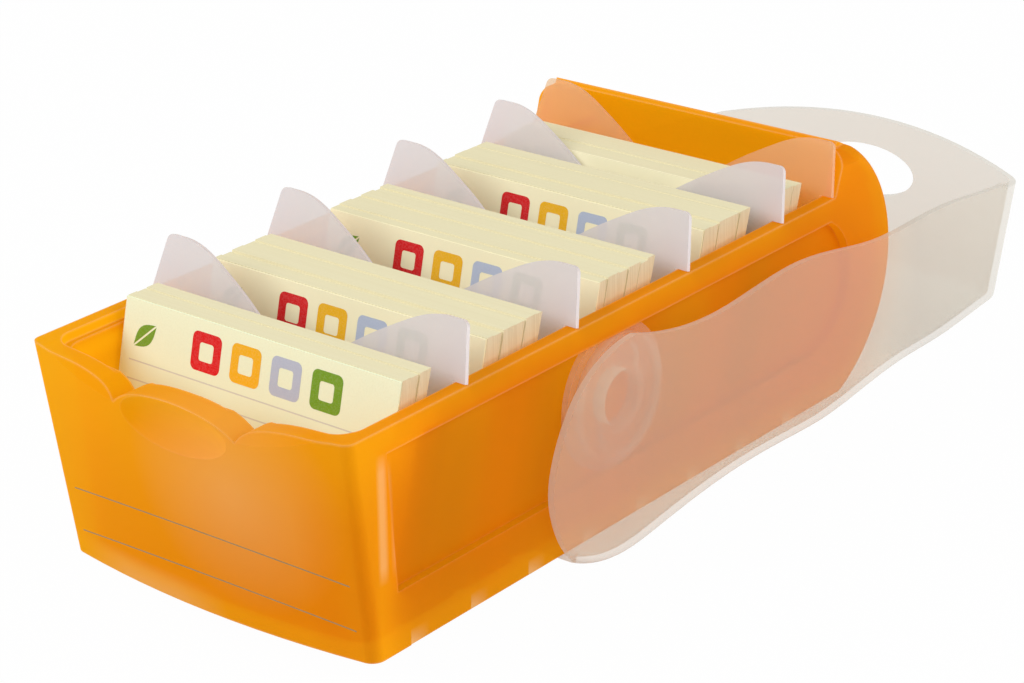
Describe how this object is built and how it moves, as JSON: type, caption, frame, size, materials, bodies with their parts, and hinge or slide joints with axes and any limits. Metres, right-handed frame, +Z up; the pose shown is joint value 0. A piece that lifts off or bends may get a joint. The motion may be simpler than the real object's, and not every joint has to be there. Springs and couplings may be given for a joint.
{
  "type": "flashcard box",
  "caption": "Long open box for small cards with leaning dividers and card packs; a clear lid with wavy sides is swung round underneath on sliding discs.",
  "frame": {"origin": "centre of the bounding box in plan, at the level of the lid's lowest point under the box", "axes": "+Y from the finger tab at the front to the lid's end wall at the back, +X to the right seen from the front, +Z up"},
  "size_m": [0.09, 0.2484, 0.0667],
  "materials": {
    "orange_plastic": "frosted orange polypropylene, slightly see-through",
    "clear_plastic": "frosted colourless polypropylene, see-through",
    "disc_plastic": "frosted colourless polypropylene, see-through",
    "divider_plastic": "frosted colourless sheet, see-through",
    "printed_card": "cream card, printed on its front",
    "card_paper": "uncoated cream card"
  },
  "bodies": {
    "box": {"box_body": "orange_plastic"},
    "slider": {"pivot_disc_left": "disc_plastic", "pivot_disc_right": "disc_plastic"},
    "lid": {"lid": "clear_plastic"},
    "divider_1": {"divider_1": "divider_plastic"},
    "divider_2": {"divider_2": "divider_plastic"},
    "divider_3": {"divider_3": "divider_plastic"},
    "divider_4": {"divider_4": "divider_plastic"},
    "divider_5": {"divider_5": "divider_plastic"},
    "pack_1": {"front_card_1": "printed_card", "card_pack_1": "card_paper", "back_card_1": "card_paper"},
    "pack_2": {"front_card_2": "printed_card", "card_pack_2": "card_paper", "back_card_2": "card_paper"},
    "pack_3": {"front_card_3": "printed_card", "card_pack_3": "card_paper", "back_card_3": "card_paper"},
    "pack_4": {"front_card_4": "printed_card", "card_pack_4": "card_paper", "back_card_4": "card_paper"},
    "pack_5": {"front_card_5": "printed_card", "card_pack_5": "card_paper", "back_card_5": "card_paper"}
  },
  "joints": [
    {"name": "lid_slide", "type": "slide", "parent": "box", "child": "slider", "axis": [0, 1, 0], "range_m": [0, 0.07]},
    {"name": "lid_swing", "type": "hinge", "parent": "slider", "child": "lid", "pos_m": [0, -0.0381, 0.0354], "axis": [1, 0, 0], "range_deg": [-3, 0]},
    {"name": "divider_1_lift", "type": "slide", "parent": "box", "child": "divider_1", "axis": [0, 0.3173, 0.9483], "range_m": [0, 0.06]},
    {"name": "divider_2_lift", "type": "slide", "parent": "box", "child": "divider_2", "axis": [0, 0.3173, 0.9483], "range_m": [0, 0.06]},
    {"name": "divider_3_lift", "type": "slide", "parent": "box", "child": "divider_3", "axis": [0, 0.3173, 0.9483], "range_m": [0, 0.06]},
    {"name": "divider_4_lift", "type": "slide", "parent": "box", "child": "divider_4", "axis": [0, 0.3173, 0.9483], "range_m": [0, 0.06]},
    {"name": "divider_5_lift", "type": "slide", "parent": "box", "child": "divider_5", "axis": [0, 0.3173, 0.9483], "range_m": [0, 0.06]},
    {"name": "pack_1_lift", "type": "slide", "parent": "box", "child": "pack_1", "axis": [0, 0.284, 0.9588], "range_m": [0, 0.055]},
    {"name": "pack_2_lift", "type": "slide", "parent": "box", "child": "pack_2", "axis": [0, 0.284, 0.9588], "range_m": [0, 0.055]},
    {"name": "pack_3_lift", "type": "slide", "parent": "box", "child": "pack_3", "axis": [0, 0.284, 0.9588], "range_m": [0, 0.055]},
    {"name": "pack_4_lift", "type": "slide", "parent": "box", "child": "pack_4", "axis": [0, 0.284, 0.9588], "range_m": [0, 0.055]},
    {"name": "pack_5_lift", "type": "slide", "parent": "box", "child": "pack_5", "axis": [0, 0.309, 0.9511], "range_m": [0, 0.055]}
  ]
}
